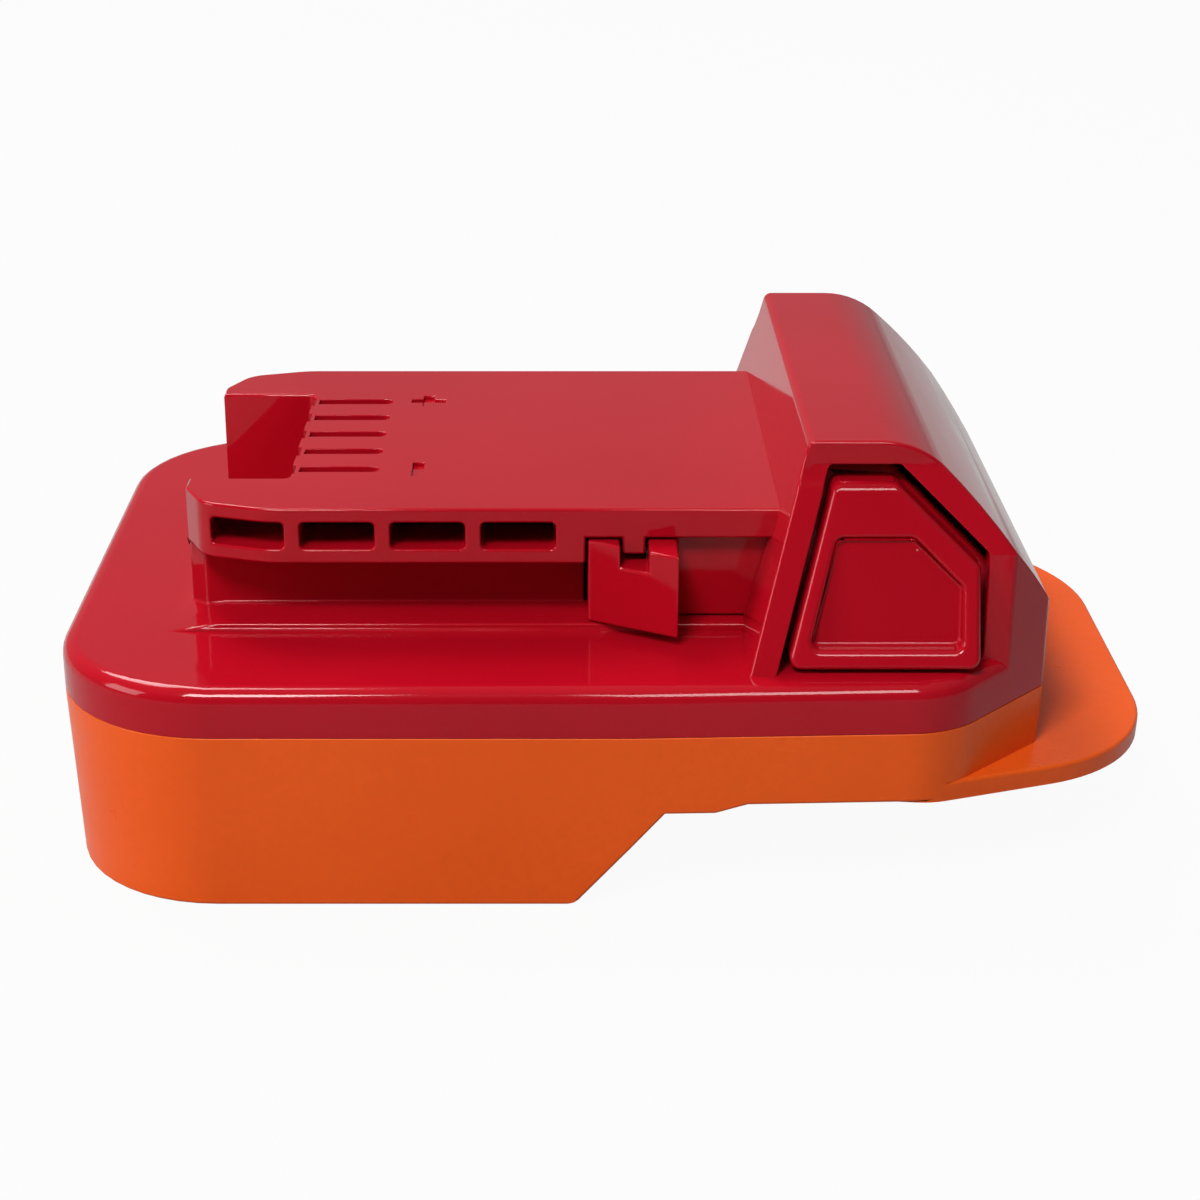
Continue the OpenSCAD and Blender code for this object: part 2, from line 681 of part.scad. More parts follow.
// Lower housing: a drafted tub, the receiver's channel let into it from below, and the tongue
module under_cut() along_y(-half_w - over, half_w + over) polygon([
    [mouth_x, 0], [mouth_top_x, roof_h], [step_x0, roof_h], [step_x1, shallow_z],
    [tip_x + over, shallow_z], [tip_x + over, -over], [mouth_x, -over]
]);
module lower_form() difference() {
    drafted_block();
    under_cut();
}
module tub_hollow() intersection() {
    along_z(0, part_z + over) rounded(inset(body_outline, wall + draft));
    along_y(-half_w, half_w) polygon([
        [front_x, wall], [mouth_x - mouth_shift, wall], [mouth_top_x - mouth_shift, roof_z],
        [step_x0, roof_z], [step_x1, shallow_z + wall], [rear_x, shallow_z + wall],
        [rear_x, part_z + 2 * over], [front_x, part_z + 2 * over]
    ]);
}
module inner_frame() intersection() {
    union() {
        box([channel_x - wall, mouth_top_x + wall], [-channel_hw - wall, channel_hw + wall], [0, roof_z]);
        for (s = screw_spots) translate(concat(s, 0)) cylinder(r = screw_post_r, h = part_z);
    }
    lower_form();
}
// Space for the battery's rail, with catch pockets for its latches in the side walls
module channel_cut() {
    box([channel_x, tip_x], [-ledge_hw, ledge_hw], [-over, roof_h]);
    box([channel_x, tip_x], [-channel_hw, channel_hw], [ledge_t, roof_h]);
    both_sides()
        box([catch_x, catch_x + catch_l], [-channel_hw - wall / 2, -channel_hw + over], [ledge_t, roof_h]);
}
module tongue() translate([tongue_x, 0, tongue_z]) rotate([0, tongue_droop, 0])
    translate([-tongue_x, 0, 0]) linear_extrude(tongue_t) rounded(tongue_outline);
module lip() difference() {
    along_z(part_z - over, part_z + lip_h) rounded(inset(body_outline, wall / 2));
    along_z(part_z - 2 * over, part_z + lip_h + over) rounded(inset(body_outline, wall + draft));
    for (s = screw_spots) translate(concat(s, part_z)) cylinder(r = screw_boss_r + fit, h = lip_h + over);
}
module lower_housing() color(orange) difference() {
    union() {
        difference() {
            lower_form();
            tub_hollow();
        }
        inner_frame();
        tongue();
        lip();
    }
    channel_cut();
    for (s = screw_spots) {
        translate(concat(s, -over)) cylinder(r = screw_head_r + fit, h = screw_seat_z + over);
        translate(concat(s, 0)) cylinder(r = screw_r + fit, h = part_z + over);
    }
    tail_hw = blade_t / 2 + fit;
    for (y = [-blade_y, blade_y]) translate([blade_x0, y, 0])
        box([-fit, blade_tail_w + fit], [-tail_hw, tail_hw], [roof_h - over, roof_z + over]);
    for (y = battery_screw_ys) translate([battery_screw_x, y, roof_h - over])
        cylinder(r = small_r + fit, h = wall + 2 * over);
}

// Latch button: a dished pad in the window, the plate behind it, an arm and a wedge hook, in one moulding
module pad() difference() {
    intersection() {
        along_y(-half_w, 0)
            rounded(five_sided(post_w + pad_gap, pad_z0, pad_z1, pad_drop, window_x - pad_gap, 1.2));
        along_x(hump_x, rear_x) rounded([
            [-lean_y(pad_z0 - over), pad_z0 - over, 0], [-plate_out + plate_t / 2, pad_z0 - over, 0],
            [-plate_out + plate_t / 2, plate_knee_z, 0], [-plate_y(pad_z1) + plate_t / 2, pad_z1, 0],
            [-lean_y(pad_z1), pad_z1, 1.4]
        ]);
    }
    dish_z0 = pad_z0 + dish_rim;
    dish_z1 = pad_z1 - dish_top;
    intersection() {
        along_y(-half_w, 0) rounded(five_sided(
            post_w + pad_gap + dish_rim, dish_z0, dish_z1, dish_drop, window_x - pad_gap - dish_rim, 0.9
        ));
        along_x(hump_x, rear_x) polygon([
            [-half_w, pad_z0], [-lean_y(pad_z0) + dish_depth, pad_z0],
            [-lean_y(dish_z0) + dish_depth, dish_z0], [-lean_y(dish_z1) + 0.2, dish_z1],
            [-lean_y(pad_z1) + 0.1, pad_z1], [-half_w, pad_z1]
        ]);
    }
}
plate_knee_z = knee_z - knee_inset(wall) - run;
function plate_y(z) = plate_out - max(0, z - plate_knee_z) * knee_k;
module plate() intersection() {
    along_y(-half_w, 0)
        rounded(five_sided(front_wall_x + run, deck_h - 1.5, plate_top, plate_drop, plate_x, 0.6));
    along_x(hump_x, rear_x) polygon([
        [-plate_out, part_z], [-plate_in, part_z], [-plate_in, plate_knee_z],
        [-plate_y(hump_z) + plate_t, hump_z], [-plate_y(hump_z), hump_z], [-plate_out, plate_knee_z]
    ]);
}
module hook() difference() {
    along_z(latch_z0, latch_z1) polygon([
        [hook_x0, -rail_hw], [hook_x1, -rail_hw - hook_out], [hook_x1, -arm_in], [hook_x0, -arm_in]
    ]);
    box([tab_x0 - run, tab_x0 + tab_l + run], [-half_w, 0], [thin_z - tab_drop - 3 * run, thin_z]);
}
module latch() {
    pad();
    plate();
    hook();
    box([hook_x1 - 1, web_x + web_t], [-arm_out, -arm_in], [latch_z0, latch_z1]);
    box([web_x, web_x + web_t], [-plate_out + plate_t / 2, -arm_in], [latch_z0, latch_z1]);
    translate([spring_x, -plate_in - plate_t / 2, spring_z]) rotate([-90, 0, 0])
        cylinder(r = peg_r, h = plate_t / 2 + peg_l);
}
module left_latch_button() color(red) latch();
module right_latch_button() color(red) mirror([0, 1, 0]) latch();

// Latch spring: one unbroken tube wound on a helix about Y, from the plate to the carrier's cheek
ring_steps = 8;
ring_sides = 6;
coil_seat = spring_wire / 2 + 0.05;
coil_y0 = -plate_in + coil_seat;
coil_y1 = -carrier_hw - coil_seat;
ring_count = spring_turns * ring_steps;
function coil_angle(i) = 360 * i / ring_steps;
function coil_centre(i) = [
    spring_x + spring_r * cos(coil_angle(i)), coil_y0 + (coil_y1 - coil_y0) * i / ring_count,
    spring_z + spring_r * sin(coil_angle(i))
];
function coil_radial(i) = [cos(coil_angle(i)), 0, sin(coil_angle(i))];
function coil_along(i) = unit([
    -sin(coil_angle(i)), (coil_y1 - coil_y0) / (2 * PI * spring_r * spring_turns), cos(coil_angle(i))
]);
coil_rings = [
    for (i = [0 : ring_count])
        ring(coil_centre(i), coil_radial(i), coil_along(i), spring_wire / 2, ring_sides)
];
coil_gap = min([
    for (i = [0 : ring_count], j = [i + ring_steps - 2 : ring_count])
        if (j <= ring_count) norm(coil_centre(i) - coil_centre(j)) - spring_wire
]);
echo(str("Least gap of a latch spring to itself: ", coil_gap, " mm"));
module left_latch_spring() color(steel) tube(coil_rings);
module right_latch_spring() color(steel) mirror([0, 1, 0]) tube(coil_rings);

// A tube through rings of points, closed at both ends
function ring(c, u, along, r, sides) = let (v = cross(along, u))
    [for (k = [0 : sides - 1]) c + r * (u * cos(360 * k / sides) + v * sin(360 * k / sides))];
module tube(rings) {
    n = len(rings[0]);
    last = (len(rings) - 1) * n;
    polyhedron(
        points = [for (r = rings) each r],
        faces = concat(
            [for (k = [1 : n - 2]) [0, k, k + 1]],
            [for (k = [1 : n - 2]) [last, last + k + 1, last + k]],
            [for (i = [0 : len(rings) - 2], k = [0 : n - 1])
                [i * n + k, (i + 1) * n + k, i * n + (k + 1) % n]],
            [for (i = [0 : len(rings) - 2], k = [0 : n - 1])
                [i * n + (k + 1) % n, (i + 1) * n + k, (i + 1) * n + (k + 1) % n]]
        )
    );
}

// Latch carrier: the bridge that both springs push against, screwed up into the hump
module latch_carrier() color(black) difference() {
    cheek_hw = spring_d / 2 + cheek_rim;
    union() {
        translate([spring_x, 0, carrier_z])
            box([-carrier_w / 2, carrier_w / 2], [-carrier_hw, carrier_hw], [0, carrier_t]);
        both_sides() translate([spring_x, -carrier_hw, spring_z]) {
            box([-cheek_hw, cheek_hw], [0, carrier_cheek], [carrier_z - spring_z, cheek_hw]);
            translate([0, 1, 0]) rotate([90, 0, 0]) cylinder(r = peg_r, h = peg_l + 1);
        }
    }
    for (x = carrier_screw_xs) translate([x, 0, carrier_z - over])
        cylinder(r = small_r + fit, h = carrier_t + 2 * over);
}
module small_screw(length) {
    cylinder(r = small_head_r, h = small_head_h);
    cylinder(r = small_r, h = small_head_h + length);
}
module carrier_screws() color(steel) for (x = carrier_screw_xs)
    translate([x, 0, carrier_z - small_head_h]) small_screw(carrier_t + small_bite);

// Tool terminal block: stands under the five slots, with a chamber for a clip at each outer slot
module tool_terminal_block() color(black) difference() {
    translate([tool_block_x, 0, tool_block_z]) {
        box([0, tool_block_l], [-tool_block_hw, tool_block_hw], [0, rail_in_z - fit - tool_block_z]);
        box([0, tool_block_l + tool_foot_l], [-tool_block_hw, tool_block_hw], [0, tool_foot_t]);
    }
    slot_hw = slot_w / 2 + fit;
    for (y = slot_ys) translate([tool_block_x, y, 0])
        box([-over, slot_l - rail_wall], [-slot_hw, slot_hw], [clip_z, rail_z]);
    tail_hw = clip_tail_w / 2 + fit;
    for (y = [-clip_y, clip_y]) translate([0, y, 0]) {
        box([clip_x0 - 0.4, tool_block_x + chamber_l], [-chamber_w / 2, chamber_w / 2],
            [tool_block_z + tool_floor, rail_z]);
        box([clip_x1 - clip_t - fit, clip_x1 + fit], [-tail_hw, tail_hw], [tool_block_z - over, clip_z]);
    }
    for (y = tool_screw_ys) translate([tool_screw_x, y, tool_block_z - over])
        cylinder(r = small_r + fit, h = tool_foot_t + 2 * over);
}
module tool_block_screws() color(steel) for (y = tool_screw_ys)
    translate([tool_screw_x, y, tool_block_z - small_head_h]) small_screw(tool_foot_t + small_bite);

// Clip: a strip folded to two leaves that pinch a tool blade, with a tail that goes down to the wire
pinch_x = clip_x0 + 2.2;
pinch_y = 0.4;
leaf_out = [
    [clip_x1, clip_hw], [pinch_x + 3.5, clip_hw], [pinch_x, pinch_y + clip_t], [clip_x0, clip_hw - 0.2]
];
leaf_in = [
    [clip_x0 + 0.25, clip_hw - 0.2 - clip_t], [pinch_x, pinch_y], [pinch_x + 3.4, clip_hw - clip_t],
    [clip_x1 - clip_t, clip_hw - clip_t]
];
leaf = concat(leaf_out, leaf_in);
function flipped(p) = [for (i = [len(p) - 1 : -1 : 0]) [p[i][0], -p[i][1]]];
module clip() {
    along_z(clip_z, clip_z + clip_h) polygon(concat(leaf, flipped(leaf)));
    box([clip_x1 - clip_t, clip_x1], [-clip_tail_w / 2, clip_tail_w / 2], [clip_tail_z, clip_z + 1]);
}
module positive_clip() color(brass) translate([0, clip_y, 0]) clip();
module negative_clip() color(brass) translate([0, -clip_y, 0]) clip();

// Battery terminal block in the channel's closed end, and its two blades with lugs above the roof
module blade_shape(grow) along_y(-blade_t / 2 - grow, blade_t / 2 + grow) {
    translate([blade_x0 - grow, blade_z - grow])
        square([blade_x1 - blade_x0 + 2 * grow, blade_h + 2 * grow]);
    translate([blade_x0 - grow, blade_z]) square([blade_tail_w + 2 * grow, lug_z + lug_h - blade_z]);
    translate([blade_x0, lug_z]) square([lug_l, lug_h]);
}
module battery_terminal_block() color(black) difference() {
    box([channel_x + fit, channel_x + battery_block_l], [-battery_block_hw, battery_block_hw],
        [battery_block_z, roof_h - battery_fit]);
    for (y = [-blade_y, blade_y]) translate([0, y, 0]) blade_shape(battery_fit);
    for (y = battery_screw_ys) translate([battery_screw_x, y, roof_h - small_bite - fit])
        cylinder(r = small_r + pilot, h = small_bite + 2 * fit);
}
module positive_blade() color(brass) translate([0, blade_y, 0]) blade_shape(0);
module negative_blade() color(brass) translate([0, -blade_y, 0]) blade_shape(0);
module battery_block_screws() color(steel) for (y = battery_screw_ys)
    translate([battery_screw_x, y, roof_z + small_head_h]) mirror([0, 0, 1]) small_screw(wall + small_bite);

// Wires: a round tube swept along each route, and shrink sleeves over the joints at both ends
wire_sides = 8;
function route_along(p, i) = i == 0 ? unit(p[1] - p[0])
    : i == len(p) - 1 ? unit(p[i] - p[i - 1]) : unit(unit(p[i] - p[i - 1]) + unit(p[i + 1] - p[i]));
function route_side(p, i) = unit([0, 1, 0] - route_along(p, i) * route_along(p, i)[1]);
wire_rings = [
    for (i = [0 : len(wire_route) - 1])
        ring(wire_route[i], route_side(wire_route, i), route_along(wire_route, i), wire_r, wire_sides)
];
module wire_sleeves() {
    lug_w = blade_t + wire_gap + wire_d;
    sleeve_x = wire_start_x + 0.3;
    along_x(sleeve_x, sleeve_x + sleeve_l)
        translate([blade_y + blade_t / 2 - lug_w, lug_wire_z - wire_r - sleeve_room])
            sleeve_section(lug_w, wire_d + 2 * sleeve_room);
    along_z(tail_wire_top - sleeve_l, tail_wire_top - 0.2)
        translate([clip_x1 - clip_t - wire_gap - wire_d, clip_y - clip_tail_w / 2])
            sleeve_section(wire_d + wire_gap + clip_t, clip_tail_w);
}
module sleeve_section(w, h) {
    t = sleeve_gap + sleeve_t;
    difference() {
        translate([-t, -t]) square([w + 2 * t, h + 2 * t]);
        translate([-sleeve_gap, -sleeve_gap]) square([w + 2 * sleeve_gap, h + 2 * sleeve_gap]);
    }
}
module positive_wire() color(copper_red) tube(wire_rings);
module negative_wire() color(black) mirror([0, 1, 0]) tube(wire_rings);
module positive_wire_sleeves() color(copper_red) wire_sleeves();
module negative_wire_sleeves() color(black) mirror([0, 1, 0]) wire_sleeves();

module housing_screws() color(steel) for (s = screw_spots)
    translate(concat(s, screw_seat_z - screw_head_h)) {
        cylinder(r = screw_head_r, h = screw_head_h);
        cylinder(r = screw_r, h = screw_top_z - screw_seat_z + screw_head_h);
    }

upper_housing();
lower_housing();
left_latch_button();
right_latch_button();
left_latch_spring();
right_latch_spring();
latch_carrier();
carrier_screws();
tool_terminal_block();
positive_clip();
negative_clip();
tool_block_screws();
battery_terminal_block();
positive_blade();
negative_blade();
battery_block_screws();
positive_wire();
negative_wire();
positive_wire_sleeves();
negative_wire_sleeves();
housing_screws();
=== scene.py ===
import math

import bmesh
import bpy
from mathutils import Matrix, Vector


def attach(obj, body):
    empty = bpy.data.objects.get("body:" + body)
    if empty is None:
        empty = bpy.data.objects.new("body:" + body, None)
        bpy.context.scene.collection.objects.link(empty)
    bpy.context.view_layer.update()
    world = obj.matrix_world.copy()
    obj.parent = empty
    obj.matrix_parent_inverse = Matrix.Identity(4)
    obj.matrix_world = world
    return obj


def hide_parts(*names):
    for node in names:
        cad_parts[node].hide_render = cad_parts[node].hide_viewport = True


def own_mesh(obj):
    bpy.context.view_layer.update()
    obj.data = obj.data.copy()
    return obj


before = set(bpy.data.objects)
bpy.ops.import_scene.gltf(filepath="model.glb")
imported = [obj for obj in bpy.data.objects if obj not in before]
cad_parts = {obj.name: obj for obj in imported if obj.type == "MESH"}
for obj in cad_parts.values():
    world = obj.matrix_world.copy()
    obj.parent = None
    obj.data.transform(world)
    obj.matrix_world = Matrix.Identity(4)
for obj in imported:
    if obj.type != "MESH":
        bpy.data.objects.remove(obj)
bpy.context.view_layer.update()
scene = bpy.context.scene
mm = 0.001
print("stage: frame loaded,", len(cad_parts), "nodes")


# camera at the photograph's place, found from the rail's and the deck's parallel edges
cameraSetup = {
    "place": (-6.3, -277.2, 132.1),   # mm
    "pitch": 22.2,                    # degrees below level
    "lens": 73.5,
    "sensor": 36.0,
    "shiftX": 0.035,
    "clip": (0.01, 20.0),             # m
}


def addCamera(setup):
    data = bpy.data.cameras.new("camera")
    data.lens = setup["lens"]
    data.sensor_width = setup["sensor"]
    data.shift_x = setup["shiftX"]
    data.clip_start, data.clip_end = setup["clip"]
    camera = bpy.data.objects.new("camera", data)
    camera.location = Vector(setup["place"]) * mm
    camera.rotation_euler = (math.radians(90 - setup["pitch"]), 0, 0)
    scene.collection.objects.link(camera)
    scene.camera = camera


addCamera(cameraSetup)


# node trees
def newMaterial(name):
    material = bpy.data.materials.new(name)
    material.use_nodes = True
    tree = material.node_tree
    shader = tree.nodes["Principled BSDF"]
    place = tree.nodes.new("ShaderNodeTexCoord").outputs["Object"]
    return material, tree, shader, place


def addNoise(tree, place, scale, detail=3.0, rough=0.5, stretch=None):
    noise = tree.nodes.new("ShaderNodeTexNoise")
    noise.inputs["Scale"].default_value = scale
    noise.inputs["Detail"].default_value = detail
    noise.inputs["Roughness"].default_value = rough
    if stretch:
        mapping = tree.nodes.new("ShaderNodeMapping")
        mapping.inputs["Scale"].default_value = stretch
        tree.links.new(place, mapping.inputs["Vector"])
        place = mapping.outputs["Vector"]
    tree.links.new(place, noise.inputs["Vector"])
    return noise.outputs["Fac"]


def addRange(tree, value, low, high, toLow, toHigh):
    node = tree.nodes.new("ShaderNodeMapRange")
    node.inputs["From Min"].default_value = low
    node.inputs["From Max"].default_value = high
    node.inputs["To Min"].default_value = toLow
    node.inputs["To Max"].default_value = toHigh
    tree.links.new(value, node.inputs["Value"])
    return node.outputs["Result"]


def addMath(tree, operation, first, second):
    node = tree.nodes.new("ShaderNodeMath")
    node.operation = operation
    for socket, value in zip(node.inputs, (first, second)):
        if isinstance(value, float):
            socket.default_value = value
        else:
            tree.links.new(value, socket)
    return node.outputs[0]


# a mix of two colours, whose sockets come after those for numbers and vectors
def addMix(tree, factor, first, second):
    node = tree.nodes.new("ShaderNodeMix")
    node.data_type = "RGBA"
    tree.links.new(factor, node.inputs["Factor"])
    for socket, value in zip(node.inputs[6:8], (first, second)):
        if isinstance(value, tuple):
            socket.default_value = (*value, 1)
        else:
            tree.links.new(value, socket)
    return node.outputs[2]


def addBump(tree, height, strength, distance, before=None):
    bump = tree.nodes.new("ShaderNodeBump")
    bump.inputs["Strength"].default_value = strength
    bump.inputs["Distance"].default_value = distance
    tree.links.new(height, bump.inputs["Height"])
    if before:
        tree.links.new(before, bump.inputs["Normal"])
    return bump.outputs["Normal"]


# glossy moulded plastic: slow colour drift, faint flow waves, rubbed patches and dust specks
def glossPlastic(name, look):
    material, tree, shader, place = newMaterial(name)
    link = tree.links.new
    drift = addRange(tree, addNoise(tree, place, look["driftScale"]), *look["driftRange"], 0, 1)
    colour = addMix(tree, drift, look["dark"], look["light"])
    speckCells = tree.nodes.new("ShaderNodeTexVoronoi")
    speckCells.inputs["Scale"].default_value = look["speckScale"]
    link(place, speckCells.inputs["Vector"])
    near = addRange(tree, speckCells.outputs["Distance"], *look["speckReach"], 0, 1)
    patches = addNoise(tree, place, look["speckPatchScale"], 1)
    few = addRange(tree, patches, *look["speckRange"], 0, look["speckStrength"])
    speck = addMath(tree, "MULTIPLY", near, few)
    link(addMix(tree, speck, colour, look["speck"]), shader.inputs["Base Color"])
    rubbed = addNoise(tree, place, look["rubScale"], 5, 0.6)
    link(addRange(tree, rubbed, *look["rubRange"], *look["roughness"]), shader.inputs["Roughness"])
    flow = addNoise(tree, place, look["waveScale"], 1)
    waves = addBump(tree, flow, look["waveStrength"], look["waveDepth"])
    scuffs = addNoise(tree, place, look["scuffScale"], 4, 0.65, look["scuffStretch"])
    link(addBump(tree, scuffs, look["scuffStrength"], look["scuffDepth"], waves), shader.inputs["Normal"])
    shader.inputs["Specular IOR Level"].default_value = look["specular"]
    return material


# satin moulded plastic: fine spark texture over a soft sheen
def satinPlastic(name, look):
    material, tree, shader, place = newMaterial(name)
    link = tree.links.new
    drift = addRange(tree, addNoise(tree, place, look["driftScale"]), *look["driftRange"], 0, 1)
    colour = addMix(tree, drift, look["dark"], look["light"])
    spots = addNoise(tree, place, look["mottleScale"], 2)
    mottle = addRange(tree, spots, *look["mottleRange"], 0, look["mottle"])
    link(addMix(tree, mottle, colour, look["mottleColour"]), shader.inputs["Base Color"])
    rubbed = addNoise(tree, place, look["rubScale"], 5, 0.6)
    link(addRange(tree, rubbed, *look["rubRange"], *look["roughness"]), shader.inputs["Roughness"])
    sparks = addNoise(tree, place, look["grainScale"], 2)
    grain = addBump(tree, sparks, look["grainStrength"], look["grainDepth"])
    waves = addNoise(tree, place, look["waveScale"], 1)
    link(addBump(tree, waves, look["waveStrength"], look["waveDepth"], grain), shader.inputs["Normal"])
    shader.inputs["Specular IOR Level"].default_value = look["specular"]
    return material


# metal with drawn lines along one way and darker tarnish patches
def drawnMetal(name, look):
    material, tree, shader, place = newMaterial(name)
    link = tree.links.new
    patches = addNoise(tree, place, look["tarnishScale"], 4)
    tarnish = addRange(tree, patches, *look["tarnishRange"], 0, 1)
    link(addMix(tree, tarnish, look["bright"], look["tarnish"]), shader.inputs["Base Color"])
    lines = addNoise(tree, place, look["lineScale"], 2, 0.5, look["lineStretch"])
    link(addRange(tree, lines, *look["lineRange"], *look["roughness"]), shader.inputs["Roughness"])
    link(addBump(tree, lines, look["lineStrength"], look["lineDepth"]), shader.inputs["Normal"])
    shader.inputs["Metallic"].default_value = 1
    return material


redLook = {
    "dark": (0.36, 0.0020, 0.0090),
    "light": (0.40, 0.0030, 0.0115),
    "driftScale": 25,
    "driftRange": (0.3, 0.7),
    "speck": (0.75, 0.55, 0.52),
    "speckScale": 160,
    "speckReach": (0.032, 0.016),
    "speckPatchScale": 49.6,
    "speckRange": (0.62, 0.66),
    "speckStrength": 0.40,
    "rubScale": 60,
    "rubRange": (0.35, 0.75),
    "roughness": (0.05, 0.11),
    "specular": 0.22,
    "waveScale": 120,
    "waveStrength": 0.018,
    "waveDepth": 0.0006,
    "scuffScale": 500,
    "scuffStretch": (1, 0.15, 1),
    "scuffStrength": 0.012,
    "scuffDepth": 0.0004,
}
orangeLook = {
    "dark": (0.74, 0.086, 0.0060),
    "light": (0.81, 0.100, 0.0080),
    "driftScale": 22,
    "driftRange": (0.3, 0.7),
    "mottleScale": 900,
    "mottleRange": (0.4, 0.6),
    "mottle": 0.10,
    "mottleColour": (0.62, 0.074, 0.0060),
    "rubScale": 70,
    "rubRange": (0.3, 0.7),
    "roughness": (0.26, 0.38),
    "specular": 0.18,
    "grainScale": 5200,
    "grainStrength": 0.10,
    "grainDepth": 0.00008,
    "waveScale": 140,
    "waveStrength": 0.05,
    "waveDepth": 0.0006,
}
blackLook = dict(
    orangeLook,
    dark=(0.016, 0.016, 0.018),
    light=(0.026, 0.026, 0.028),
    mottle=0.3,
    mottleColour=(0.010, 0.010, 0.011),
    roughness=(0.42, 0.58),
    grainStrength=0.22,
)
redWireLook = dict(
    orangeLook,
    dark=(0.34, 0.010, 0.010),
    light=(0.40, 0.016, 0.014),
    mottleColour=(0.28, 0.008, 0.008),
    roughness=(0.34, 0.46),
)
blackWireLook = dict(blackLook, roughness=(0.36, 0.48))
brassLook = {
    "bright": (0.80, 0.56, 0.22),
    "tarnish": (0.55, 0.34, 0.12),
    "tarnishScale": 190,
    "tarnishRange": (0.45, 0.75),
    "lineScale": 1500,
    "lineRange": (0.3, 0.7),
    "lineStretch": (0.05, 1, 1),
    "roughness": (0.20, 0.36),
    "lineStrength": 0.10,
    "lineDepth": 0.0001,
}
steelLook = dict(
    brassLook,
    bright=(0.56, 0.57, 0.58),
    tarnish=(0.36, 0.36, 0.37),
    roughness=(0.24, 0.40),
)
redPlastic = glossPlastic("redGlossPlastic", redLook)
buttonPlastic = glossPlastic("buttonGlossPlastic", dict(redLook, driftScale=31, waveScale=140))
orangePlastic = satinPlastic("orangeSatinPlastic", orangeLook)
blackPlastic = satinPlastic("blackGrainPlastic", blackLook)
redInsulation = satinPlastic("redInsulation", redWireLook)
blackInsulation = satinPlastic("blackInsulation", blackWireLook)
contactBrass = drawnMetal("contactBrass", brassLook)
screwSteel = drawnMetal("screwSteel", steelLook)
springSteel = drawnMetal("springSteel", dict(steelLook, lineStretch=(1, 0.1, 1)))
print("stage: materials made")


# a finished piece: its place is in its mesh, it rides on a body and it takes a node's place
def addPiece(name, mesh, material, body, node):
    piece = bpy.data.objects.new(name, mesh)
    scene.collection.objects.link(piece)
    mesh.materials.clear()
    mesh.materials.append(material)
    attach(piece, body)
    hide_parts(node)
    return piece


mergeGap = 0.02 * mm
flatAngle = math.radians(0.5)


def joinFlats(bm):
    bmesh.ops.dissolve_limit(
        bm, angle_limit=flatAngle, verts=bm.verts, edges=bm.edges, use_dissolve_boundaries=False
    )


# a merged copy of a node's mesh, with flat faces joined up
def mergedCopy(node):
    bm = bmesh.new()
    bm.from_mesh(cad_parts[node].data)
    bmesh.ops.remove_doubles(bm, verts=bm.verts, dist=mergeGap)
    bmesh.ops.dissolve_degenerate(bm, edges=bm.edges, dist=mergeGap)
    joinFlats(bm)
    return bm


# least share of a face's normal along the way that it looks, and greatest share across it
looking = 0.5
leaning = {"upright": 0.7, "cross": 0.5}


# True where the upright face at an edge looks away from the object's middle line
def looksOut(middle, edge):
    away = Vector((middle.x, middle.y, 0)).normalized()
    upright = [face for face in edge.link_faces if abs(face.normal.z) < leaning["upright"]]
    return any(face.normal.dot(away) > looking for face in upright)


# True where a cross face at an edge looks back towards a middle, as the walls of an opening do
def looksIn(middle, edge, centre):
    back = Vector((centre[0] - middle.x, 0, centre[1] - middle.z)).normalized()
    crossing = [face for face in edge.link_faces if abs(face.normal.y) < leaning["cross"]]
    return any(face.normal.dot(back) > looking for face in crossing)


# True where a face at an edge looks back and down, as the mouth's slope does
def onSlope(edge):
    return any(min(face.normal.x, -face.normal.z) > looking for face in edge.link_faces)


# sharp edges that follow one another form a run, found by joining edges that meet nearly straight
def edgeRuns(bm, sharp, straightest=130):
    leader = {edge: edge for edge in sharp}

    def first(edge):
        while leader[edge] is not edge:
            edge = leader[edge]
        return edge

    for vert in bm.verts:
        meeting = [edge for edge in vert.link_edges if edge in leader]
        for place, one in enumerate(meeting):
            for other in meeting[place + 1:]:
                ways = [edge.other_vert(vert).co - vert.co for edge in (one, other)]
                if math.degrees(ways[0].angle(ways[1], 0)) > straightest:
                    leader[first(one)] = first(other)
    runs = {}
    for edge in sharp:
        runs.setdefault(first(edge), []).append(edge)
    return runs.values()


# each run of sharp edges gets one round, in mm: the one that a rule gives to most of its length.
# a rule gives None for an edge that stays smooth and -1 for one that stays crisp, outside the runs
def markRounds(bm, rule, sharpest=20):
    bm.normal_update()
    layer = bm.edges.layers.float.new("bevel_weight_edge")
    wanted = {}
    for edge in bm.edges:
        edge.smooth = True
        if len(edge.link_faces) == 2 and math.degrees(edge.calc_face_angle(0)) > sharpest:
            middle = (edge.verts[0].co + edge.verts[1].co) / 2 / mm
            width = rule(middle, edge)
            if width is not None and width >= 0:
                wanted[edge] = width
            edge.smooth = width is None
    for run in edgeRuns(bm, wanted):
        lengths = {}
        for edge in run:
            lengths[wanted[edge]] = lengths.get(wanted[edge], 0) + edge.calc_length()
        width = max(lengths, key=lengths.get)
        for edge in run:
            edge[layer] = width
            edge.smooth = width > 0
    for face in bm.faces:
        face.smooth = True


# bars cut down into the flat faces at a height: a strip is fenced off round the bars, its faces are split
# along the bars' sides, and those inside the bars are pushed in
barCut = {
    "margin": 0.5,        # mm from the bars to the fence
    "level": 0.99,        # least upward share of a flat face's normal
    "snap": 0.001 * mm,
}


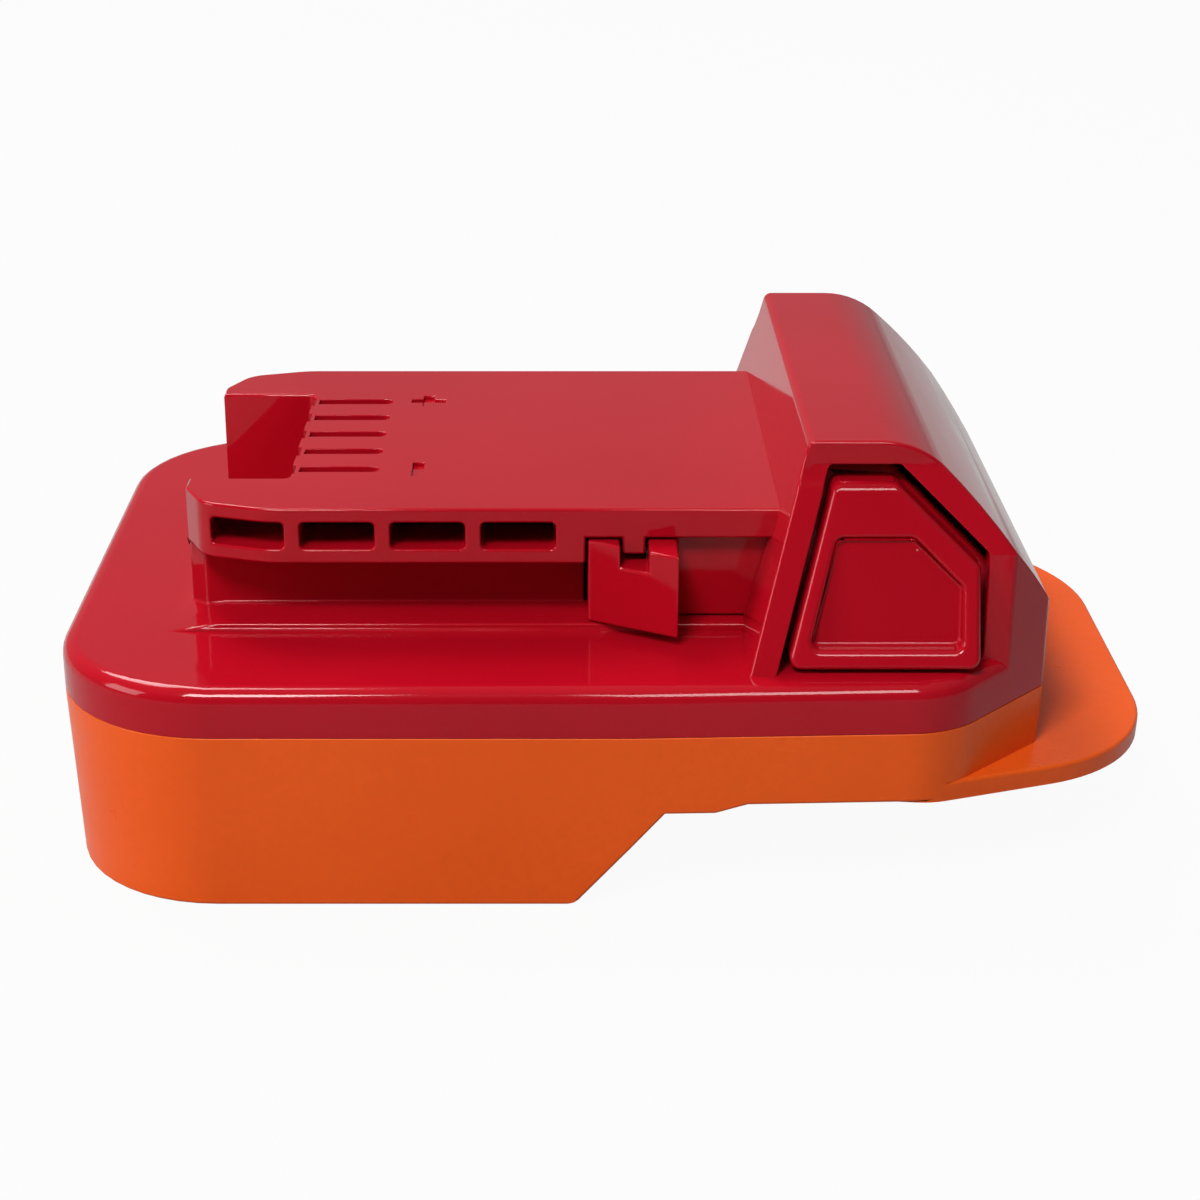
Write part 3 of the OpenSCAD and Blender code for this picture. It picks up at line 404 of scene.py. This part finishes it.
def sinkBars(bm, bars, height, depth):
    snap = barCut["snap"]
    fence = (
        min(low[0] for low, high in bars) - barCut["margin"],
        max(high[0] for low, high in bars) + barCut["margin"],
    )

    def flatFaces(fenced):
        faces = [
            face for face in bm.faces
            if face.normal.z > barCut["level"]
            and abs(face.calc_center_median().z - height * mm) < mergeGap
        ]
        if fenced:
            ends = (fence[0] * mm - snap, fence[1] * mm + snap)
            faces = [face for face in faces if all(ends[0] < vert.co.x < ends[1] for vert in face.verts)]
        return faces

    def split(across, value, fenced):
        faces = flatFaces(fenced)
        edges = dict.fromkeys(edge for face in faces for edge in face.edges)
        verts = dict.fromkeys(vert for face in faces for vert in face.verts)
        place = Vector((value, value, height)) * mm
        normal = (0, 1, 0) if across else (1, 0, 0)
        bmesh.ops.bisect_plane(
            bm, geom=[*verts, *edges, *faces], dist=snap, plane_co=place, plane_no=normal
        )

    for value in fence:
        split(False, value, False)
    for value in sorted({corner[0] for bar in bars for corner in bar}):
        split(False, value, True)
    for value in sorted({corner[1] for bar in bars for corner in bar}):
        split(True, value, True)
    pockets = []
    for face in flatFaces(True):
        middle = face.calc_center_median() / mm
        if any(low[0] < middle.x < high[0] and low[1] < middle.y < high[1] for low, high in bars):
            pockets.append(face)
    pushed = bmesh.ops.extrude_face_region(bm, geom=pockets)["geom"]
    moved = [part for part in pushed if isinstance(part, bmesh.types.BMVert)]
    bmesh.ops.translate(bm, verts=moved, vec=(0, 0, -depth * mm))
    bmesh.ops.delete(bm, geom=[face for face in pockets if face.is_valid], context="FACES")
    bmesh.ops.recalc_face_normals(bm, faces=bm.faces)


def mouldedPiece(node, name, material, body, rule, segments=3, detail=None):
    bm = mergedCopy(node)
    if detail:
        detail(bm)
    markRounds(bm, rule)
    mesh = bpy.data.meshes.new(name)
    bm.to_mesh(mesh)
    bm.free()
    piece = addPiece(name, mesh, material, body, node)
    bevel = piece.modifiers.new("edgeRounds", "BEVEL")
    bevel.limit_method = "WEIGHT"
    bevel.width = 1 * mm
    bevel.segments = segments
    bevel.use_clamp_overlap = False
    bevel.loop_slide = False
    bevel.face_strength_mode = "FSTR_ALL"
    normals = piece.modifiers.new("faceNormals", "WEIGHTED_NORMAL")
    normals.keep_sharp = True
    normals.use_face_influence = True
    return piece


# gentle edges, such as the facets of a curve, stay smooth
def isGentle(edge, sharpest=32):
    return math.degrees(edge.calc_face_angle(0)) < sharpest


# rounds in mm by place, only on the outside, and places on the solids that they follow, in mm too
sameHeight = 0.1
partingLine = {
    "round": 0.15,
    "z": 20.5,
    "rimX": 50.0,
    "rimSide": 36.0,
}


def partingRule(middle, edge):
    line = partingLine
    onRim = abs(middle.y) > line["rimSide"] or abs(middle.x) > line["rimX"]
    return line["round"] if onRim and looksOut(middle, edge) else 0


upperEdges = {
    "hump": 0.4,
    "window": 0.2,
    "windowMiddle": (29.0, 35.0),
    "railTop": 0.35,
    "slot": 0.12,
    "flange": 0.3,
    "overDeckZ": 26.2,
    "humpFootZ": 27.0,
    "railZ": 40.3,
    "railCavity": 18.4,
    "slotX": -37.0,
    "signX": -20.0,
    "signSide": 15.5,
    "humpX": 13.5,
    "humpRimSide": 33.2,
    "kneeZ": 38.0,
    "kneeLean": 0.416,
}


def upperRule(middle, edge):
    edges = upperEdges
    across = abs(middle.y)
    if isGentle(edge):
        return None
    if middle.z < partingLine["z"] + sameHeight:
        return partingRule(middle, edge)
    if middle.z < edges["overDeckZ"]:
        return 0
    if middle.x > edges["humpX"]:
        side = edges["humpRimSide"] - max(0, middle.z - edges["kneeZ"]) * edges["kneeLean"]
        if middle.z < edges["humpFootZ"] or across < side:
            return 0
        return edges["window"] if looksIn(middle, edge, edges["windowMiddle"]) else edges["hump"]
    if middle.z > edges["railZ"] - sameHeight:
        inside = across < edges["signSide"] and edges["slotX"] < middle.x < edges["signX"]
        return edges["slot"] if inside else edges["railTop"]
    if across > edges["railCavity"]:
        return edges["flange"]
    return 0


lowerEdges = {
    "foot": 0.4,
    "mouth": 0.15,
    "mouthCorner": 1.0,
    "tongue": 0.4,
    "frontX": -55.0,
    "innerWall": 38.0,
    "outerWall": 41.0,
    "mouthZ": 12.3,
    "rootX": 33.0,
    "tongueX": 35.7,
    "tongueZ": 14.3,
}


def lowerRule(middle, edge):
    edges = lowerEdges
    across = abs(middle.y)
    if isGentle(edge):
        return None
    if middle.z > partingLine["z"] + sameHeight:
        return 0
    if middle.z > partingLine["z"] - sameHeight:
        return partingRule(middle, edge)
    if middle.z < sameHeight:
        if onSlope(edge):
            return edges["mouthCorner"]
        onRim = across > edges["innerWall"] or middle.x < edges["frontX"]
        return edges["foot"] if onRim else edges["mouth"]
    onTop = edges["mouthZ"] < middle.z < edges["tongueZ"]
    if onTop and edges["rootX"] < middle.x < edges["tongueX"]:
        return -1
    if middle.x > edges["tongueX"]:
        return edges["tongue"] if onTop and edge.is_convex else 0
    if across > edges["outerWall"] and middle.z < edges["mouthZ"] and middle.x < edges["rootX"]:
        return edges["mouth"]
    return 0


# the underside of the tongue as one sloping plane out to its tip
tongueUnder = {
    "roof": 11.2,         # height of the receiver's roof, which cuts the tip
    "startX": 49.08,      # where the sloping underside meets that height
    "slope": 0.0524,      # a droop of 3 degrees
    "sameHeight": 0.02,
    "merge": 0.03,
}


def levelTongue(bm):
    form = tongueUnder
    for vert in bm.verts:
        past, rise = vert.co.x / mm - form["startX"], vert.co.z / mm - form["roof"]
        if past > 0 and abs(rise) < form["sameHeight"]:
            vert.co.z = (form["roof"] - past * form["slope"]) * mm
    bmesh.ops.remove_doubles(bm, verts=bm.verts, dist=form["merge"] * mm)
    joinFlats(bm)


latchEdges = {
    "rim": 0.7,
    "dish": 0.35,
    "dishFoot": 1.1,
    "hook": 0.3,
    "padX": 14.0,
    "padSide": 31.0,
    "dishFootZ": 29.3,
}


def latchRule(middle, edge):
    edges = latchEdges
    if isGentle(edge):
        return None
    if middle.x < edges["padX"]:
        return edges["hook"]
    if abs(middle.y) < edges["padSide"]:
        return 0
    if edge.is_convex:
        return edges["rim"]
    return edges["dishFoot"] if middle.z < edges["dishFootZ"] else edges["dish"]


smallRound = 0.12


def smallRule(middle, edge):
    return None if isGentle(edge) else smallRound


# plus and minus signs, sunk into the top of the rail
signs = {
    "bars": (
        ((-24.4, 12.35), (-20.2, 13.65)),
        ((-22.95, 10.9), (-21.65, 15.1)),
        ((-22.95, -14.9), (-21.65, -10.4)),
    ),
    "depth": 0.45,
}


def cutSigns(bm):
    sinkBars(bm, signs["bars"], upperEdges["railZ"], signs["depth"])


mouldedPiece(
    "upper_housing", "upperShell", redPlastic, "housing", upperRule, detail=cutSigns
)
mouldedPiece(
    "lower_housing", "lowerShell", orangePlastic, "housing", lowerRule, detail=levelTongue
)
for side in ("left", "right"):
    mouldedPiece(
        side + "_latch_button", side + "LatchButton", buttonPlastic,
        side + "_latch", latchRule,
    )
smallPieces = {
    "latch_carrier": ("latchCarrier", blackPlastic, "black_plastic"),
    "tool_terminal_block": ("toolTerminalBlock", blackPlastic, "black_plastic"),
    "battery_terminal_block": ("batteryTerminalBlock", blackPlastic, "black_plastic"),
    "positive_clip": ("positiveClip", contactBrass, "contact_brass"),
    "negative_clip": ("negativeClip", contactBrass, "contact_brass"),
    "positive_blade": ("positiveBlade", contactBrass, "contact_brass"),
    "negative_blade": ("negativeBlade", contactBrass, "contact_brass"),
    "positive_wire_sleeves": ("positiveSleeves", redInsulation, "red_insulation"),
    "negative_wire_sleeves": ("negativeSleeves", blackInsulation, "black_insulation"),
}
for node, (name, material, slot) in smallPieces.items():
    mouldedPiece(node, name, material, "housing", smallRule, 2)
print("stage: moulded pieces rounded")


def finishMesh(bm, name, sharpest=40):
    bmesh.ops.recalc_face_normals(bm, faces=bm.faces)
    for face in bm.faces:
        face.smooth = True
    for edge in bm.edges:
        edge.smooth = math.degrees(edge.calc_face_angle(0)) < sharpest
    mesh = bpy.data.meshes.new(name)
    bm.to_mesh(mesh)
    bm.free()
    return mesh


def addProfile(bm, points):
    verts = [bm.verts.new(Vector(point) * mm) for point in points]
    return verts + [bm.edges.new(pair) for pair in zip(verts, verts[1:])]


# a screw that stands head up on its own origin: spun head and ridged shank, with a cross cut into the head
def addScrew(bm, setup):
    head, shank = setup["headRadius"], setup["shankRadius"]
    tall, root = setup["headHeight"], setup["shankRadius"] - setup["ridge"]
    ridges = int((setup["shankLength"] - setup["tip"]) / setup["pitch"])
    crown, corner, end = setup["crown"], setup["corner"], -setup["shankLength"]
    points = [
        (head - crown, 0, tall), (head - corner, 0, tall - corner), (head, 0, tall - crown),
        (head, 0, corner), (head - corner, 0, 0), (shank, 0, 0),
    ]
    for ridge in range(ridges):
        top = -setup["pitch"] * ridge
        points += [(root, 0, top - setup["pitch"] * setup["groove"]), (shank, 0, top - setup["pitch"])]
    points += [(root / 2, 0, end + corner), (setup["point"], 0, end)]
    new = bmesh.new()
    bmesh.ops.spin(
        new, geom=addProfile(new, points), cent=(0, 0, 0), axis=(0, 0, 1), angle=2 * math.pi,
        steps=setup["sides"], use_merge=True,
    )
    bmesh.ops.holes_fill(new, edges=new.edges, sides=0)
    bmesh.ops.recalc_face_normals(new, faces=new.faces)
    long, wide = setup["crossLength"] / 2, setup["crossWidth"] / 2
    bars = (((-long, -wide), (long, wide)), ((-wide, -long), (wide, long)))
    sinkBars(new, bars, tall, setup["crossDepth"])
    mesh = bpy.data.meshes.new("screwShape")
    new.to_mesh(mesh)
    new.free()
    for place in setup["places"]:
        before = set(bm.verts)
        bm.from_mesh(mesh)
        turn = Matrix.Rotation(math.radians(setup["twist"] * (1 + place[0])), 4, "Z")
        flip = Matrix.Rotation(math.pi if setup["headDown"] else 0, 4, "X")
        bmesh.ops.transform(
            bm, matrix=Matrix.Translation(Vector(place) * mm) @ flip @ turn,
            verts=[vert for vert in bm.verts if vert not in before],
        )
    bpy.data.meshes.remove(mesh)


smallScrew = {
    "headRadius": 1.9,
    "headHeight": 1.4,
    "crown": 0.35,        # how far the head's round top reaches in and down
    "corner": 0.1,
    "shankRadius": 1.0,
    "shankLength": 7.5,
    "ridge": 0.16,
    "pitch": 0.6,
    "groove": 0.35,       # share of the pitch from a ridge to the groove under it
    "tip": 0.9,
    "point": 0.05,
    "sides": 28,
    "crossLength": 2.2,
    "crossWidth": 0.55,
    "crossDepth": 0.7,
    "twist": 17.0,
    "headDown": True,
}
# places are the seats under the heads, in mm
screwSets = {
    "housing_screws": dict(
        smallScrew, headRadius=2.6, headHeight=2.0, shankRadius=1.3, shankLength=9.5, ridge=0.22, pitch=0.9,
        tip=1.2, crossLength=3.0, crossWidth=0.75, crossDepth=1.1,
        places=((-45.5, -35.7, 15.0), (-45.5, 35.7, 15.0), (40.7, -18.2, 15.0), (40.7, 18.2, 15.0)),
    ),
    "carrier_screws": dict(smallScrew, places=((24.0, 0, 28.0), (33.0, 0, 28.0))),
    "tool_block_screws": dict(smallScrew, places=((-19.55, -9.0, 27.5), (-19.55, 9.0, 27.5))),
    "battery_block_screws": dict(
        smallScrew, headDown=False, shankLength=7.4, places=((-46.0, -5.0, 13.6), (-46.0, 5.0, 13.6))
    ),
}
screwNames = {
    "housing_screws": "housingScrews",
    "carrier_screws": "carrierScrews",
    "tool_block_screws": "toolBlockScrews",
    "battery_block_screws": "batteryBlockScrews",
}
for node, setup in screwSets.items():
    bm = bmesh.new()
    addScrew(bm, setup)
    addPiece(screwNames[node], finishMesh(bm, screwNames[node]), screwSteel, "housing", node)
print("stage: screws spun")


# a round tube led along lines and turns by extruding and spinning its open end
def addTube(bm, setup):
    turn = Matrix.Rotation(math.pi / 2, 4, setup["facing"])
    ring = bmesh.ops.create_circle(
        bm, cap_ends=True, segments=setup["sides"], radius=setup["radius"] * mm,
        matrix=Matrix.Translation(Vector(setup["start"]) * mm) @ turn,
    )["verts"]
    last = list(dict.fromkeys(edge for vert in ring for edge in vert.link_edges))
    for kind, *leg in setup["path"]:
        if kind == "line":
            parts = bmesh.ops.extrude_edge_only(bm, edges=last)["geom"]
            moved = [part for part in parts if isinstance(part, bmesh.types.BMVert)]
            bmesh.ops.translate(bm, verts=moved, vec=Vector(leg[0]) * mm)
        else:
            centre, axis, angle, climb, steps = leg
            parts = bmesh.ops.spin(
                bm, geom=last, cent=Vector(centre) * mm, axis=axis, dvec=Vector(climb) / steps * mm,
                angle=math.radians(angle), steps=steps,
            )["geom_last"]
        last = [part for part in parts if isinstance(part, bmesh.types.BMEdge)]
    bmesh.ops.contextual_create(bm, geom=last)


# springs: close end turns and open turns between them, from the plate in to the carrier's cheek
springForm = {
    "radius": 0.45,
    "sides": 12,
    "coil": 3.15,
    "x": 28.5,
    "z": 34.0,
    "outer": 28.8,
    "inner": 13.5,
    "endTurns": 0.9,
    "endClimb": 0.85,
    "turns": 6.0,
    "stepsPerTurn": 28,
    "keep": 0.724,
    "anchor": 0.013,
}


def springPath(form, side):
    centre, axis = (form["x"], 0, form["z"]), (0, -side, 0)
    openTurns = form["turns"] - 2 * form["endTurns"]
    climbs = [
        (form["endTurns"], form["endClimb"]),
        (openTurns, form["outer"] - form["inner"] - 2 * form["endClimb"]),
        (form["endTurns"], form["endClimb"]),
    ]
    return [
        ("turn", centre, axis, 360 * turns, (0, -side * climb, 0), round(turns * form["stepsPerTurn"]))
        for turns, climb in climbs
    ]


for side, label in ((-1, "left"), (1, "right")):
    form = springForm
    bm = bmesh.new()
    addTube(bm, {
        "sides": form["sides"], "radius": form["radius"], "facing": "Z",
        "start": (form["x"] + form["coil"], side * form["outer"], form["z"]),
        "path": springPath(form, side),
    })
    name = label + "LatchSpring"
    piece = addPiece(
        name, finishMesh(bm, name), springSteel, "housing", label + "_latch_spring"
    )
    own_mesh(piece)

# wires: a straight lead from the blade, a sway outward in two turns, then a bend up to the clip
wireForm = {
    "radius": 1.3,
    "sides": 20,
    "start": (-44.5, 10.25, 16.7),
    "lead": 5.0,
    "swayRadius": 6.125,
    "swayAngle": 36.87,
    "swaySteps": 10,
    "bendRadius": 5.0,
    "bendSteps": 16,
    "rise": 5.4,
}


def wirePath(form, side):
    x, y, z = form["start"]
    swayX = x + form["lead"]
    reach = form["swayRadius"] * math.sin(math.radians(form["swayAngle"]))
    shift = form["swayRadius"] * (1 - math.cos(math.radians(form["swayAngle"])))
    bendX, bendY = swayX + 2 * reach, y + 2 * shift
    firstY, secondY = y + form["swayRadius"], bendY - form["swayRadius"]
    sway = (form["swayAngle"], (0, 0, 0), form["swaySteps"])
    bend = (90, (0, 0, 0), form["bendSteps"])
    return [
        ("line", (form["lead"], 0, 0)),
        ("turn", (swayX, side * firstY, z), (0, 0, side), *sway),
        ("turn", (bendX, side * secondY, z), (0, 0, -side), *sway),
        ("turn", (bendX, side * bendY, z + form["bendRadius"]), (0, -1, 0), *bend),
        ("line", (0, 0, form["rise"])),
    ]


wires = {
    "positive_wire": ("positiveWire", 1, redInsulation, "red_insulation"),
    "negative_wire": ("negativeWire", -1, blackInsulation, "black_insulation"),
}
for node, (name, side, material, slot) in wires.items():
    x, y, z = wireForm["start"]
    bm = bmesh.new()
    addTube(bm, {
        "sides": wireForm["sides"], "radius": wireForm["radius"], "facing": "Y",
        "start": (x, side * y, z), "path": wirePath(wireForm, side),
    })
    addPiece(name, finishMesh(bm, name), material, "housing", node)
print("stage: springs and wires led")


# studio: pale floor, a surround that is brighter behind than in front, and soft lamps
studio = {
    "floorSize": 16.0,
    "floor": (0.33, 0.33, 0.33),
    "floorRoughness": 0.9,
    "floorGlow": 0.95,              # share of plain white that the camera sees on the floor
    "mirrorGlow": (0.22, 0.16),     # how much of that glow reflections show, near and far
    "mirrorReach": (0.60, 1.40),
    "front": (0.10, 0.10, 0.10),
    "back": (0.30, 0.30, 0.31),
    "backRange": (-0.3, 0.6),
    "zenith": (0.40, 0.40, 0.41),
    "zenithRange": (0.5, 0.95),
}
# soft boxes, in metres and watts; the edge box only draws bright lines on the rounds
lampAim = (0, 0, 0.02)
lamps = {
    "backBox": {"place": (-0.30, 0.40, 0.70), "size": 0.34, "power": 4.6},
    "edgeBox": {"place": (0.14, -0.50, 0.66), "size": 0.22, "power": 2.6, "glossOnly": True},
    "frontBox": {"place": (-0.22, -0.55, 0.75), "size": 0.24, "power": 6.2},
    "leftBox": {"place": (-0.80, -0.30, 0.34), "size": 0.40, "power": 3.4},
}


def addFloor(setup):
    bm = bmesh.new()
    bmesh.ops.create_grid(bm, x_segments=1, y_segments=1, size=setup["floorSize"] / 2)
    mesh = bpy.data.meshes.new("floor")
    bm.to_mesh(mesh)
    bm.free()
    floor = bpy.data.objects.new("floor", mesh)
    scene.collection.objects.link(floor)
    material, tree, shader, place = newMaterial("floorPaper")
    link = tree.links.new
    shader.inputs["Base Color"].default_value = (*setup["floor"], 1)
    shader.inputs["Roughness"].default_value = setup["floorRoughness"]
    distance = tree.nodes.new("ShaderNodeVectorMath")
    distance.operation = "LENGTH"
    link(place, distance.inputs[0])
    fading = addRange(tree, distance.outputs["Value"], *setup["mirrorReach"], *setup["mirrorGlow"])
    rays = tree.nodes.new("ShaderNodeLightPath").outputs
    reflected = addMath(tree, "MAXIMUM", rays["Is Glossy Ray"], rays["Is Transmission Ray"])
    mirrored = addMath(tree, "MULTIPLY", reflected, fading)
    seen = addMath(tree, "MAXIMUM", rays["Is Camera Ray"], mirrored)
    glow = tree.nodes.new("ShaderNodeEmission")
    mix = tree.nodes.new("ShaderNodeMixShader")
    link(addMath(tree, "MULTIPLY", seen, setup["floorGlow"]), mix.inputs["Fac"])
    link(shader.outputs["BSDF"], mix.inputs[1])
    link(glow.outputs["Emission"], mix.inputs[2])
    link(mix.outputs["Shader"], tree.nodes["Material Output"].inputs["Surface"])
    mesh.materials.append(material)


def addWorld(setup):
    world = bpy.data.worlds.new("studioWorld")
    scene.world = world
    world.use_nodes = True
    tree = world.node_tree
    place = tree.nodes.new("ShaderNodeTexCoord")
    parts = tree.nodes.new("ShaderNodeSeparateXYZ")
    tree.links.new(place.outputs["Generated"], parts.inputs["Vector"])
    depth = addRange(tree, parts.outputs["Y"], *setup["backRange"], 0, 1)
    level = addMix(tree, depth, setup["front"], setup["back"])
    rise = addRange(tree, parts.outputs["Z"], *setup["zenithRange"], 0, 1)
    sky = addMix(tree, rise, level, setup["zenith"])
    tree.links.new(sky, tree.nodes["Background"].inputs["Color"])


def addLamp(name, setup):
    data = bpy.data.lights.new(name, "AREA")
    data.shape = "SQUARE"
    data.size = setup["size"]
    data.energy = setup["power"]
    lamp = bpy.data.objects.new(name, data)
    lamp.location = setup["place"]
    aim = Vector(lampAim) - Vector(setup["place"])
    lamp.rotation_euler = aim.to_track_quat("-Z", "Y").to_euler()
    lamp.visible_diffuse = not setup.get("glossOnly", False)
    scene.collection.objects.link(lamp)


addFloor(studio)
addWorld(studio)
for name, setup in lamps.items():
    addLamp(name, setup)
scene.view_settings.view_transform = "Standard"
print("stage: studio lit")
